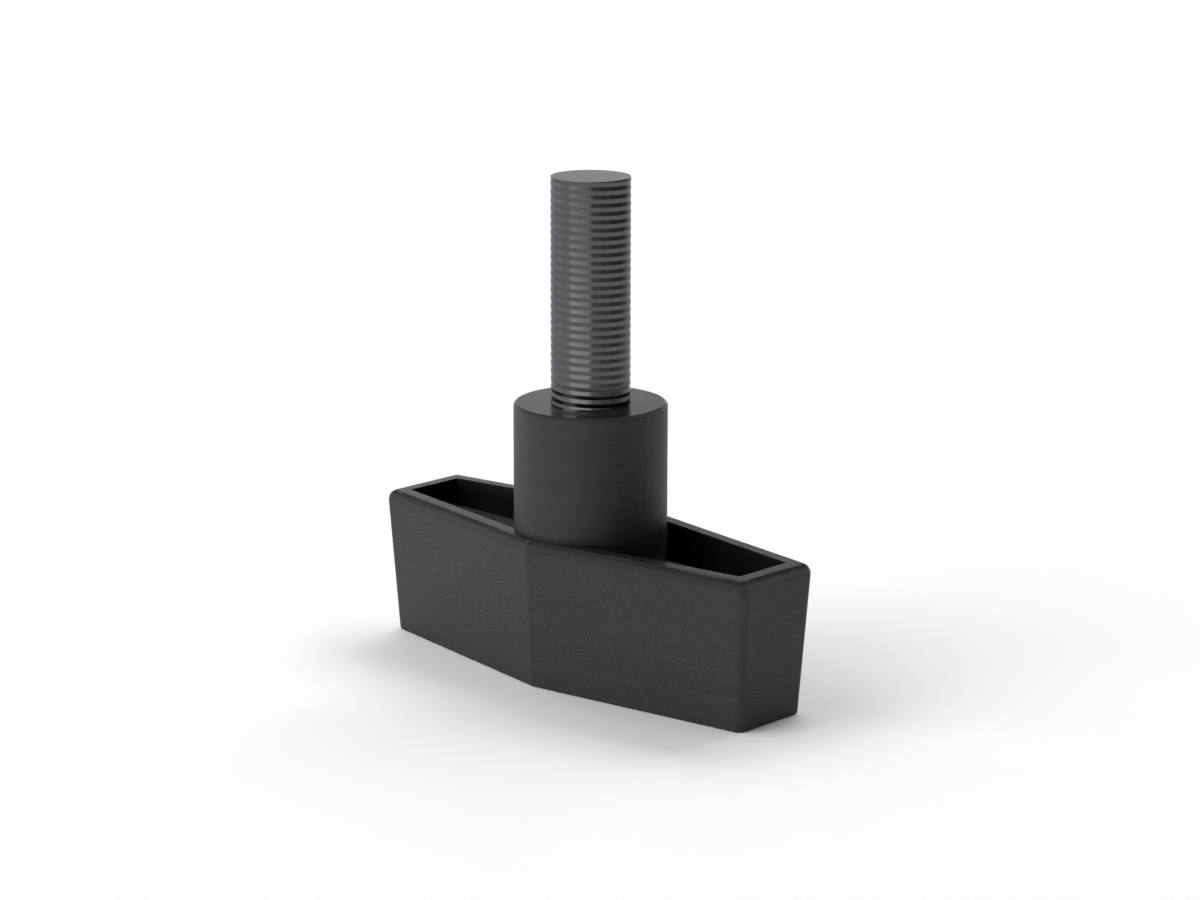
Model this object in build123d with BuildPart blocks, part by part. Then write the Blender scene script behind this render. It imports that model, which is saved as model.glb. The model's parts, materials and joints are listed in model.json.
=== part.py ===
from build123d import *
import math
import os

# T-handle wing screw, in millimetres. The origin is at the centre of the handle's foot.
# +X runs along the wings, and +Z runs up through the hub and the stud.

# Handle body, a six-sided boat shape that widens from the foot to the rim
foot_length = 48.88
foot_width_middle = 16.68
foot_width_tip = 8.83
body_height = 15.25
draft_angle = 3.25
corner_round = 1.0
rim_round = 1.0
foot_round = 0.3

# Pockets either side of the hub, and the rib that runs along them
wall_thickness = 2.08
floor_thickness = 2.2
pocket_corner_round = 0.3
rib_thickness = 2.1
rib_drop = 2.05

# Hub
hub_diameter = 15.45
hub_height = 28.0
hub_edge_round = 0.4

# Stud, threaded above the hub and anchored in it by two knurled bands on a thinner shank
stud_diameter = 8.0
stud_reach = 22.7
runout_height = 0.4
shank_diameter = 7.2
stud_bed = 4.5
band_diameter = 11.0
band_height = 6.0
band_gap = 3.0
band_start = 2.0
knurl_grooves = 24
knurl_groove_depth = 0.45

stud_radius = stud_diameter / 2
shank_radius = shank_diameter / 2
band_radius = band_diameter / 2
stud_tip = hub_height + stud_reach
lower_band = stud_bed + band_start
upper_band = lower_band + band_height + band_gap
knurl_top = upper_band + band_height
rim_spread = body_height * math.tan(math.radians(draft_angle))
rib_top = body_height - rib_drop

# Threaded stud, turned in one piece
with BuildPart() as threaded_stud:
    with BuildSketch(Plane.XZ):
        with BuildLine():
            Polyline(
                (0, stud_bed),
                (shank_radius, stud_bed),
                (shank_radius, lower_band),
                (band_radius, lower_band),
                (band_radius, lower_band + band_height),
                (shank_radius, lower_band + band_height),
                (shank_radius, upper_band),
                (band_radius, upper_band),
                (band_radius, knurl_top),
                (shank_radius, knurl_top),
                (shank_radius, hub_height - runout_height),
                (stud_radius, hub_height),
                (stud_radius, stud_tip),
                (0, stud_tip),
                close=True,
            )
        make_face()
    revolve(axis=Axis.Z)

    # V grooves of the straight knurl, each cut by a square bar on its edge
    with BuildSketch(Plane.XY.offset(lower_band)):
        with PolarLocations(band_radius, knurl_grooves):
            RegularPolygon(knurl_groove_depth, 4)
    extrude(amount=knurl_top - lower_band, mode=Mode.SUBTRACT)

threaded_stud.part.label = "threaded_stud"

# Outline of the handle's foot
with BuildSketch() as foot_outline:
    with BuildLine():
        Polyline(
            (foot_length / 2, -foot_width_tip / 2),
            (foot_length / 2, foot_width_tip / 2),
            (0, foot_width_middle / 2),
            (-foot_length / 2, foot_width_tip / 2),
            (-foot_length / 2, -foot_width_tip / 2),
            (0, -foot_width_middle / 2),
            close=True,
        )
    make_face()

# Space inside the walls, with the hub and the rib left standing in it
with BuildPart() as pockets:
    with BuildSketch(Plane.XY.offset(body_height)) as pocket_mouth:
        add(foot_outline.sketch)
        offset(amount=rim_spread - wall_thickness, kind=Kind.INTERSECTION, mode=Mode.REPLACE)
        fillet(pocket_mouth.vertices(), pocket_corner_round)
    extrude(amount=floor_thickness - body_height, taper=draft_angle)
    with BuildSketch(Plane.XY.offset(floor_thickness)):
        Circle(hub_diameter / 2)
    extrude(amount=body_height - floor_thickness, mode=Mode.SUBTRACT)
    with BuildSketch(Plane.XY.offset(floor_thickness)):
        Rectangle(foot_length, rib_thickness)
    extrude(amount=rib_top - floor_thickness, mode=Mode.SUBTRACT)

# Handle, moulded round the stud
with BuildPart() as handle:
    add(foot_outline.sketch)
    extrude(amount=body_height, taper=-draft_angle)
    fillet(handle.edges().filter_by(Plane.XY, reverse=True), corner_round)
    fillet(handle.faces().sort_by(Axis.Z)[-1].edges(), rim_round)
    fillet(handle.faces().sort_by(Axis.Z)[0].edges(), foot_round)
    add(pockets.part, mode=Mode.SUBTRACT)

    # Hub above the body, from inside the rim's round
    with BuildSketch(Plane.XY.offset(body_height - rim_round)):
        Circle(hub_diameter / 2)
    extrude(amount=hub_height - body_height + rim_round)
    fillet(handle.edges().filter_by(GeomType.CIRCLE).sort_by(Axis.Z)[-1], hub_edge_round)

    # The plastic closes on the stud without a gap
    add(threaded_stud.part, mode=Mode.SUBTRACT)

handle.part.label = "handle"

os.makedirs("parts", exist_ok=True)
export_step(handle.part, "parts/handle.step")
export_step(threaded_stud.part, "parts/threaded_stud.step")
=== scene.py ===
import json
import math

import bmesh
import bpy
from mathutils import Matrix, Vector


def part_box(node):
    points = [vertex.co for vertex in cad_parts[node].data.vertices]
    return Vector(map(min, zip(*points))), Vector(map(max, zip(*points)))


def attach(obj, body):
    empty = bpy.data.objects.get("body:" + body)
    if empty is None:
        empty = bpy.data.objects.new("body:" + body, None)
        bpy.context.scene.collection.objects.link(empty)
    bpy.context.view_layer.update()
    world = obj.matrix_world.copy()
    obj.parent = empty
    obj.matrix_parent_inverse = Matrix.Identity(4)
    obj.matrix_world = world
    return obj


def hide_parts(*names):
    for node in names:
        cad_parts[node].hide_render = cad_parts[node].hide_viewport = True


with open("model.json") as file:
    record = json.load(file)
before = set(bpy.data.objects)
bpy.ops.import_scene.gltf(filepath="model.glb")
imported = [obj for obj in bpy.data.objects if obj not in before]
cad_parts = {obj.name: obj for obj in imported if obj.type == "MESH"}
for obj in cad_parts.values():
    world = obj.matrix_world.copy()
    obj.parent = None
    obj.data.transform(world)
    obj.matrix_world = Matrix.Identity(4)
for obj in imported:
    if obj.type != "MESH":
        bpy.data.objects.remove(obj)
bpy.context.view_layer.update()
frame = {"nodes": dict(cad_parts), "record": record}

MM = 0.001

# Thread as it is pictured: one shallow left-hand start with flat flanks. The crest's height is
# the one at which it passes the camera's side of the stud.
THREAD_PITCH = 0.816 * MM
THREAD_DEPTH = 0.064 * MM
THREAD_HAND = -1
CREST_SHARPNESS = 0.999
CREST_HEIGHT = 42.475 * MM

# Mesh of the stud. A turn's rows of vertices stand at these shares of the pitch, closest at its
# crests and roots, and a row that comes nearer than the gap to the thread's end is left out.
ROW_SHARES = (0, 0.02, 0.05, 0.25, 0.45, 0.48, 0.5, 0.52, 0.55, 0.75, 0.95, 0.98)
ROWS_PER_TURN = len(ROW_SHARES)
LEAST_GAP = 0.01 * THREAD_PITCH
COLUMNS_PER_GROOVE = 6
CREASE_ANGLE = math.radians(35)

# Anchor of the stud inside the hub
KNURL_GROOVES = 24
GROOVE_DEPTH = 0.45 * MM
SHANK_RADIUS = 3.6 * MM
BAND_RADIUS = 5.5 * MM
BAND_START = 2.0 * MM
BAND_HEIGHT = 6.0 * MM
BAND_GAP = 3.0 * MM
RUNOUT_HEIGHT = 0.4 * MM

# Steel of the stud
STEEL_DARK = (0.09, 0.091, 0.098, 1)
STEEL_LIGHT = (0.096, 0.097, 0.104, 1)
STEEL_TINT = (0.67, 0.67, 0.67, 1)
STEEL_ROUGHNESS = 0.23
STEEL_MOTTLES_PER_METRE = 500

# Plastic of the handle
PLASTIC_DARK = (0.0105, 0.0105, 0.0125, 1)
PLASTIC_LIGHT = (0.017, 0.017, 0.0195, 1)
# Painted shade: the darker colour laid inside the pockets and on the sides of the rounds' levels
PLASTIC_PAINTED_SHADE = (0.004, 0.004, 0.004, 1)
PLASTIC_IOR = 1.5
WALL_ROUGHNESS = 0.6
ROUND_ROUGHNESS = 0.45
TOP_ROUGHNESS = 0.2
POCKET_ROUGHNESS = 0.35
ROUGHNESS_SPREAD = 0.1

# Spans of a surface's lean, the Z of its normal, over which a wall takes on painted shade,
# turns as smooth as a round, and ends in a flat top
PAINTED_SHADE_LEANS = (0, 0.15)
SMOOTHER_LEANS = (0.1, 0.5)
TOP_LEANS = (0.95, 0.97)

# Level steps left in the plastic. They roughen its walls, and on its rounds the levels' sides hang
# over a little and carry painted shade, which leaves a fine lighter step at the top of each.
LEVEL_PITCH = 0.2 * MM
LEVEL_PHASE = 0.75
LEVEL_HEIGHT = 0.004 * MM
OVERHANG = -0.2
STEP_SHOWN = 0.3
STEP_EDGE = 0.04

# Noise: slow mottling of the colours, and streaks along the levels
MOTTLE_SPAN = (0.35, 0.65)
MOTTLE_DETAIL = 4
STREAKS_PER_METRE = (70, 70, 2000)
STREAK_DETAIL = 3
STREAK_SHARE = 3

# Lines along the top of the rib
RIB_TOP = 13.2 * MM
RIB_TOP_MARGIN = 0.5 * MM
RIB_LINE_PITCH = 0.5 * MM
RIB_LINE_SHARE = 3

# Inside of the pockets, which is smoother and carries painted shade in its colour: its bounds in
# the middle of the walls
POCKET_HALF_WIDTH = 7.6 * MM
POCKET_NARROWING = 0.1606
POCKET_HALF_LENGTH = 23.9 * MM
POCKET_BOTTOM = 0.5 * MM
POCKET_TOP = 15.2 * MM
HUB_RADIUS = 7.8 * MM

# Floor and room, which is dim round the lamps
FLOOR_REACH = 3.0
FLOOR_SQUARES = 8
FLOOR_COLOUR = (0.9, 0.9, 0.9, 1)
ROOM_STRENGTH = 0.01

# Softboxes in rings round the object. Each ring has the angles above the floor that it fills,
# the width of its boxes, and each box's radiance at its azimuth from the camera.
LAMP_DISTANCE = 2.4
LAMP_AIM_HEIGHT = 20 * MM
LAMP_RINGS = (
    ("strip", 0, 8, 30, {-165: 2.2, -135: 2.5, -105: 1.6, -75: 1.4, -45: 3.4, -15: 3.3,
                         15: 0.8, 45: 0.4, 75: 0.1, 165: 3.0}),
    ("low", 8, 20, 45, {-157.5: 0.4, -112.5: 0.9, 157.5: 0.2}),
    ("middle", 20, 40, 45, {-157.5: 0.2, -67.5: 4.4, 157.5: 0.3}),
    ("high", 40, 65, 60, {-150: 2.7, -90: 3.5, 90: 1.3, 150: 5.1}),
)

# Camera, fitted to the photograph
CAMERA_AZIMUTH = math.radians(44.37)
CAMERA_ELEVATION = math.radians(13.95)
CAMERA_ROLL = math.radians(0.07)
CAMERA_DISTANCE = 309.5 * MM
AIM_RIGHT = 0.94 * MM
AIM_HEIGHT = 22.99 * MM
SENSOR_WIDTH = 36.0
FOCAL_LENGTH = 92.6
CLIP_START = 0.01
CLIP_END = 20


def view_axes(azimuth, elevation):
    """The directions to the right of a view, up in it and back towards the viewer."""
    back = Vector((math.sin(azimuth) * math.cos(elevation),
                   -math.cos(azimuth) * math.cos(elevation),
                   math.sin(elevation)))
    right = Vector((math.cos(azimuth), math.sin(azimuth), 0))
    return right, back.cross(right), back


def add_camera():
    """The photograph's camera."""
    right, up, back = view_axes(CAMERA_AZIMUTH, CAMERA_ELEVATION)
    aim = Vector((0, 0, AIM_HEIGHT)) + right * AIM_RIGHT
    data = bpy.data.cameras.new("camera")
    data.sensor_width = SENSOR_WIDTH
    data.lens = FOCAL_LENGTH
    data.clip_start = CLIP_START
    data.clip_end = CLIP_END
    camera = bpy.data.objects.new("camera", data)
    turn = Matrix((right, up, back)).transposed() @ Matrix.Rotation(CAMERA_ROLL, 3, "Z")
    camera.matrix_world = Matrix.Translation(aim + back * CAMERA_DISTANCE) @ turn.to_4x4()
    bpy.context.collection.objects.link(camera)
    bpy.context.scene.camera = camera


class Nodes:
    """A short way to write a node tree."""

    def __init__(self, tree):
        self.tree = tree
        tree.nodes.clear()

    def add(self, kind, **settings):
        """A new node with these settings."""
        node = self.tree.nodes.new(kind)
        for name, value in settings.items():
            setattr(node, name, value)
        return node

    def link(self, source, target):
        """Lead an output into an input."""
        self.tree.links.new(source, target)

    def math(self, operation, first, second=None, third=None):
        """The result of a sum on numbers and outputs."""
        node = self.add("ShaderNodeMath", operation=operation)
        for socket, value in zip(node.inputs, (first, second, third)):
            if isinstance(value, (int, float)):
                socket.default_value = value
            elif value is not None:
                self.link(value, socket)
        return node.outputs[0]

    def ramp(self, value, span, results=(0, 1)):
        """A number that goes smoothly from one result to the other over a span of the value."""
        node = self.add("ShaderNodeMapRange", interpolation_type="SMOOTHSTEP")
        for name, setting in zip(("From Min", "From Max", "To Min", "To Max"), span + results):
            node.inputs[name].default_value = setting
        self.link(value, node.inputs["Value"])
        return node.outputs["Result"]

    def split(self, vector):
        """The X, Y and Z of a vector."""
        node = self.add("ShaderNodeSeparateXYZ")
        self.link(vector, node.inputs["Vector"])
        return node.outputs

    def noise(self, place, scale, detail):
        """A noise from 0 to 1."""
        node = self.add("ShaderNodeTexNoise")
        node.inputs["Scale"].default_value = scale
        node.inputs["Detail"].default_value = detail
        self.link(place, node.inputs["Vector"])
        return node.outputs["Fac"]

    def mottled(self, place, scale, dark, light):
        """A colour that wanders slowly between two values."""
        node = self.add("ShaderNodeValToRGB")
        for element, position, colour in zip(node.color_ramp.elements, MOTTLE_SPAN,
                                             (dark, light)):
            element.position = position
            element.color = colour
        self.link(self.noise(place, scale, MOTTLE_DETAIL), node.inputs["Fac"])
        return node.outputs["Color"]

    def mix(self, kind, share, source, value):
        """An output that turns into a fixed value as the share goes from 0 to 1."""
        node = self.add("ShaderNodeMix", data_type=kind)
        self.link(share, node.inputs["Factor"])
        self.link(source, node.inputs["A"])
        node.inputs["B"].default_value = value
        return node.outputs["Result"]


def new_material(name, shader_kind):
    """A material of one shader, with its nodes and that shader."""
    material = bpy.data.materials.new(name)
    material.use_nodes = True
    nodes = Nodes(material.node_tree)
    shader = nodes.add(shader_kind)
    output = nodes.add("ShaderNodeOutputMaterial")
    nodes.link(shader.outputs[0], output.inputs["Surface"])
    return material, nodes, shader


def inside_pockets(nodes, axes):
    """1 on the surfaces inside the pockets, and 0 elsewhere."""
    along = nodes.math("ABSOLUTE", axes["X"])
    across = nodes.math("ABSOLUTE", axes["Y"])
    width = nodes.math("MULTIPLY_ADD", along, POCKET_NARROWING, across)
    from_axis = nodes.math("ADD", nodes.math("POWER", along, 2), nodes.math("POWER", across, 2))
    inside = nodes.math("LESS_THAN", width, POCKET_HALF_WIDTH)
    for test, value, limit in (("LESS_THAN", along, POCKET_HALF_LENGTH),
                               ("GREATER_THAN", axes["Z"], POCKET_BOTTOM),
                               ("LESS_THAN", axes["Z"], POCKET_TOP),
                               ("GREATER_THAN", from_axis, HUB_RADIUS ** 2)):
        inside = nodes.math("MULTIPLY", inside, nodes.math(test, value, limit))
    return inside


def level_steps(nodes, lean, height):
    """1 on the narrow step that ends each level of a round, as wide as the surface leans."""
    rise = nodes.math("MULTIPLY", nodes.math("MAXIMUM", lean, 0), STEP_SHOWN)
    # A little over 1, so that the root is never of a number below 0
    side = nodes.math("SQRT", nodes.math("SUBTRACT", 1.0001, nodes.math("MULTIPLY", lean, lean)))
    share = nodes.math("DIVIDE", rise, nodes.math("ADD", rise, side))
    level = nodes.math("FRACT", nodes.math("MULTIPLY_ADD", height, 1 / LEVEL_PITCH, LEVEL_PHASE))
    edge = nodes.math("SUBTRACT", nodes.math("ADD", level, share), 1)
    return nodes.ramp(edge, (-STEP_EDGE, STEP_EDGE))


def painted_shade_sides(nodes, lean, flat, height):
    """1 on the sides of a round's levels, where the colour takes painted shade, and 0 on walls,
    flat tops and the levels' steps.
    """
    leaning = nodes.math("MULTIPLY", nodes.ramp(lean, PAINTED_SHADE_LEANS),
                         nodes.math("SUBTRACT", 1, flat))
    steps = level_steps(nodes, lean, height)
    return nodes.math("MULTIPLY", leaning, nodes.math("SUBTRACT", 1, steps))


def plastic_roughness(nodes, lean, flat, inside, streaks):
    """Rough walls, smoother rounds and pockets, and the smoothest tops, all a little uneven."""
    rough = nodes.ramp(lean, SMOOTHER_LEANS, (WALL_ROUGHNESS, ROUND_ROUGHNESS))
    in_pocket = nodes.math("MULTIPLY", inside, POCKET_ROUGHNESS - WALL_ROUGHNESS)
    rough = nodes.math("ADD", rough, in_pocket)
    on_top = nodes.math("MULTIPLY", flat, nodes.math("SUBTRACT", TOP_ROUGHNESS, rough))
    rough = nodes.math("ADD", rough, on_top)
    uneven = nodes.math("MULTIPLY_ADD", streaks, ROUGHNESS_SPREAD, -ROUGHNESS_SPREAD / 2)
    return nodes.math("ADD", rough, uneven)


def plastic_normal(nodes, slopes, flat):
    """The surface's direction, with the levels' sides turned upright and the tops level."""
    overhanging = nodes.math("MULTIPLY", slopes["Z"], OVERHANG)
    upright = nodes.add("ShaderNodeCombineXYZ")
    nodes.link(slopes["X"], upright.inputs["X"])
    nodes.link(slopes["Y"], upright.inputs["Y"])
    nodes.link(nodes.math("MINIMUM", slopes["Z"], overhanging), upright.inputs["Z"])
    facing = nodes.add("ShaderNodeVectorTransform", vector_type="NORMAL",
                       convert_from="OBJECT", convert_to="WORLD")
    turned = nodes.mix("VECTOR", flat, upright.outputs["Vector"], (0, 0, 1))
    nodes.link(turned, facing.inputs["Vector"])
    return facing.outputs["Vector"]


def plastic_height(nodes, axes, flat, streaks):
    """Height of the levels and their streaks, and of the lines along the top of the rib."""
    levels = nodes.math("SINE", nodes.math("MULTIPLY", axes["Z"], 2 * math.pi / LEVEL_PITCH))
    height = nodes.math("MULTIPLY_ADD", streaks, STREAK_SHARE, levels)
    near_top = nodes.math("COMPARE", axes["Z"], RIB_TOP, RIB_TOP_MARGIN)
    on_rib = nodes.math("MULTIPLY", nodes.math("MULTIPLY", flat, near_top), RIB_LINE_SHARE)
    lines = nodes.math("SINE", nodes.math("MULTIPLY", axes["Y"], 2 * math.pi / RIB_LINE_PITCH))
    return nodes.math("MULTIPLY_ADD", lines, on_rib, height)


def black_plastic():
    """Near-black plastic in fine levels: rough walls, stepped rounds and smooth tops, with painted
    shade in the pockets and on the rounds' level sides.
    """
    material, nodes, shader = new_material("black_plastic", "ShaderNodeBsdfPrincipled")
    coordinates = nodes.add("ShaderNodeTexCoord")
    place = coordinates.outputs["Object"]
    axes = nodes.split(place)
    slopes = nodes.split(coordinates.outputs["Normal"])
    lean = slopes["Z"]
    flat = nodes.ramp(lean, TOP_LEANS)
    inside = inside_pockets(nodes, axes)
    stretch = nodes.add("ShaderNodeVectorMath", operation="MULTIPLY")
    nodes.link(place, stretch.inputs[0])
    stretch.inputs[1].default_value = STREAKS_PER_METRE
    stretched = stretch.outputs["Vector"]
    streaks = nodes.noise(stretched, 1, STREAK_DETAIL)

    colour = nodes.mottled(stretched, 1, PLASTIC_DARK, PLASTIC_LIGHT)
    # Painted shade: the colour turns darker inside the pockets and on the sides of the rounds'
    # levels
    painted_shade = nodes.math("MAXIMUM", inside, painted_shade_sides(nodes, lean, flat, axes["Z"]))
    nodes.link(nodes.mix("RGBA", painted_shade, colour, PLASTIC_PAINTED_SHADE), shader.inputs["Base Color"])
    shader.inputs["IOR"].default_value = PLASTIC_IOR
    nodes.link(plastic_roughness(nodes, lean, flat, inside, streaks), shader.inputs["Roughness"])

    bump = nodes.add("ShaderNodeBump")
    bump.inputs["Strength"].default_value = 1
    bump.inputs["Distance"].default_value = LEVEL_HEIGHT
    nodes.link(plastic_height(nodes, axes, flat, streaks), bump.inputs["Height"])
    nodes.link(plastic_normal(nodes, slopes, flat), bump.inputs["Normal"])
    nodes.link(bump.outputs["Normal"], shader.inputs["Normal"])
    return material


def dark_steel():
    """Blackened steel with a satin sheen."""
    material, nodes, shader = new_material("dark_steel", "ShaderNodeBsdfPrincipled")
    place = nodes.add("ShaderNodeTexCoord").outputs["Object"]
    colour = nodes.mottled(place, STEEL_MOTTLES_PER_METRE, STEEL_DARK, STEEL_LIGHT)
    nodes.link(colour, shader.inputs["Base Color"])
    shader.inputs["Metallic"].default_value = 1
    shader.inputs["Roughness"].default_value = STEEL_ROUGHNESS
    shader.inputs["Specular Tint"].default_value = STEEL_TINT
    return material


def add_object(name, mesh):
    """The object that a finished bmesh makes."""
    data = bpy.data.meshes.new(name)
    mesh.to_mesh(data)
    mesh.free()
    made = bpy.data.objects.new(name, data)
    bpy.context.collection.objects.link(made)
    return made


def groove_cut(angle, radius):
    """How deep the straight knurl is at this angle of a band."""
    spacing = 2 * math.pi / KNURL_GROOVES
    off_centre = abs((angle + spacing / 2) % spacing - spacing / 2)
    return max(0, GROOVE_DEPTH - off_centre * radius)


def thread_cut(turns):
    """Share of the thread's depth that is cut away, this many turns above a crest."""
    wave = math.asin(CREST_SHARPNESS * math.cos(2 * math.pi * turns))
    return 0.5 - 0.5 * wave / math.asin(CREST_SHARPNESS)


def turned_point(radius, angle, height):
    """The point at this radius and angle round the stud's axis."""
    return radius * math.cos(angle), radius * math.sin(angle), height


class ThreadRows:
    """The thread's vertices, in rows that follow the helix and end level at both ends."""

    def __init__(self, mesh, bottom, top, columns):
        self.mesh = mesh
        self.bottom = bottom
        self.top = top
        self.columns = columns
        self.crest_radius = frame["record"]["mounts"][0]["dims"]["r_mm"] * MM
        self.crest_angle = CAMERA_AZIMUTH - math.pi / 2
        self.bottom_ring = [self.add(column, bottom) for column in range(columns)]
        self.top_ring = [self.add(column, top) for column in range(columns)]
        self.found = {}
        # Two turns more at each end than the heights ask for, because the rows slope
        self.first_row = math.floor((bottom - CREST_HEIGHT) / THREAD_PITCH - 2) * ROWS_PER_TURN
        self.last_row = math.ceil((top - CREST_HEIGHT) / THREAD_PITCH + 2) * ROWS_PER_TURN

    def rise(self, column):
        """Turns by which a row has risen at this column since the crest's own angle."""
        angle = 2 * math.pi * column / self.columns - self.crest_angle
        return THREAD_HAND * angle / (2 * math.pi)

    def add(self, column, height):
        """A new vertex on the thread's surface."""
        turns = (height - CREST_HEIGHT) / THREAD_PITCH - self.rise(column)
        radius = self.crest_radius - THREAD_DEPTH * thread_cut(turns)
        angle = 2 * math.pi * column / self.columns
        return self.mesh.verts.new(turned_point(radius, angle, height))

    def vertex(self, column, row):
        """The vertex of a row, or of the ring at the thread's end if the row is past it."""
        if column == self.columns:
            return self.vertex(0, row + THREAD_HAND * ROWS_PER_TURN)
        turns = row // ROWS_PER_TURN + ROW_SHARES[row % ROWS_PER_TURN]
        height = CREST_HEIGHT + (turns + self.rise(column)) * THREAD_PITCH
        if height < self.bottom + LEAST_GAP:
            return self.bottom_ring[column]
        if height > self.top - LEAST_GAP:
            return self.top_ring[column]
        if (column, row) not in self.found:
            self.found[column, row] = self.add(column, height)
        return self.found[column, row]

    def add_faces(self):
        """The faces between the rows, with those at the ends cut down to triangles or left out."""
        for column in range(self.columns):
            for row in range(self.first_row, self.last_row):
                corners = (self.vertex(column, row), self.vertex(column + 1, row),
                           self.vertex(column + 1, row + 1), self.vertex(column, row + 1))
                corners = list(dict.fromkeys(corners))
                if len(corners) > 2:
                    self.mesh.faces.new(corners)


def join_rings(mesh, lower, upper):
    """A band of faces between two rings of vertices."""
    for i in range(len(lower)):
        j = (i + 1) % len(lower)
        mesh.faces.new((lower[i], lower[j], upper[j], upper[i]))


def add_stud():
    """The stud in one closed mesh: shank and knurled bands inside the hub, thread above it."""
    low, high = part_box("threaded_stud")
    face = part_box("handle")[1].z
    columns = KNURL_GROOVES * COLUMNS_PER_GROOVE
    mesh = bmesh.new()

    def ring(height, radius, knurled=False):
        corners = []
        for column in range(columns):
            angle = 2 * math.pi * column / columns
            cut = groove_cut(angle, radius) if knurled else 0
            corners.append(mesh.verts.new(turned_point(radius - cut, angle, height)))
        return corners

    rings = [ring(low.z, SHANK_RADIUS)]
    first_band = low.z + BAND_START
    for start in (first_band, first_band + BAND_HEIGHT + BAND_GAP):
        end = start + BAND_HEIGHT
        rings += [ring(start, SHANK_RADIUS), ring(start, BAND_RADIUS, True),
                  ring(end, BAND_RADIUS, True), ring(end, SHANK_RADIUS)]
    rings.append(ring(face - RUNOUT_HEIGHT, SHANK_RADIUS))
    thread = ThreadRows(mesh, face, high.z, columns)
    rings.append(thread.bottom_ring)
    for lower, upper in zip(rings, rings[1:]):
        join_rings(mesh, lower, upper)
    thread.add_faces()
    mesh.faces.new(list(reversed(rings[0])))
    mesh.faces.new(thread.top_ring)

    bmesh.ops.recalc_face_normals(mesh, faces=mesh.faces)
    for polygon in mesh.faces:
        polygon.smooth = True
    stud = add_object("stud", mesh)
    stud.data.set_sharp_from_angle(angle=CREASE_ANGLE)
    stud.data.materials.append(dark_steel())
    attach(stud, "root")
    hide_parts("threaded_stud")


def dress_handle():
    """The handle's own solid, in its plastic."""
    handle = frame["nodes"]["handle"]
    material = black_plastic()
    for slot in handle.material_slots:
        slot.material = material


def add_floor():
    """A white floor that keeps the contact shadow and meets the white background."""
    mesh = bmesh.new()
    bmesh.ops.create_grid(mesh, x_segments=FLOOR_SQUARES, y_segments=FLOOR_SQUARES,
                          size=FLOOR_REACH)
    floor = add_object("floor", mesh)
    material, _, diffuse = new_material("floor", "ShaderNodeBsdfDiffuse")
    diffuse.inputs["Color"].default_value = FLOOR_COLOUR
    floor.data.materials.append(material)


def add_world():
    """A dim room round the lamps."""
    world = bpy.data.worlds.new("room")
    bpy.context.scene.world = world
    world.use_nodes = True
    nodes = Nodes(world.node_tree)
    room = nodes.add("ShaderNodeBackground")
    room.inputs["Strength"].default_value = ROOM_STRENGTH
    output = nodes.add("ShaderNodeOutputWorld")
    nodes.link(room.outputs["Background"], output.inputs["Surface"])


def add_softbox(name, azimuth, spread, low, high, radiance):
    """A softbox that fills these angles, in degrees, round the object and above the floor."""
    azimuth, spread, low, high = (math.radians(angle) for angle in (azimuth, spread, low, high))
    elevation = (low + high) / 2
    back = view_axes(CAMERA_AZIMUTH + azimuth, elevation)[2]
    data = bpy.data.lights.new(name, "AREA")
    data.shape = "RECTANGLE"
    data.size = 2 * LAMP_DISTANCE * math.tan(spread / 2) * math.cos(elevation)
    data.size_y = 2 * LAMP_DISTANCE * math.tan((high - low) / 2)
    data.energy = math.pi * data.size * data.size_y * radiance
    lamp = bpy.data.objects.new(name, data)
    lamp.location = Vector((0, 0, LAMP_AIM_HEIGHT)) + back * LAMP_DISTANCE
    lamp.rotation_euler = back.to_track_quat("Z", "Y").to_euler()
    lamp.visible_camera = False
    bpy.context.collection.objects.link(lamp)


def add_lamps():
    """All the softboxes, each named after its ring, its side and its azimuth."""
    for ring, low, high, spread, boxes in LAMP_RINGS:
        for azimuth, radiance in boxes.items():
            side = "left" if azimuth < 0 else "right"
            name = f"{ring}_{side}_{int(abs(azimuth))}"
            add_softbox(name, azimuth, spread, low, high, radiance)


add_camera()
add_world()
add_floor()
add_lamps()
dress_handle()
add_stud()

scene = bpy.context.scene
scene.view_settings.view_transform = "Standard"
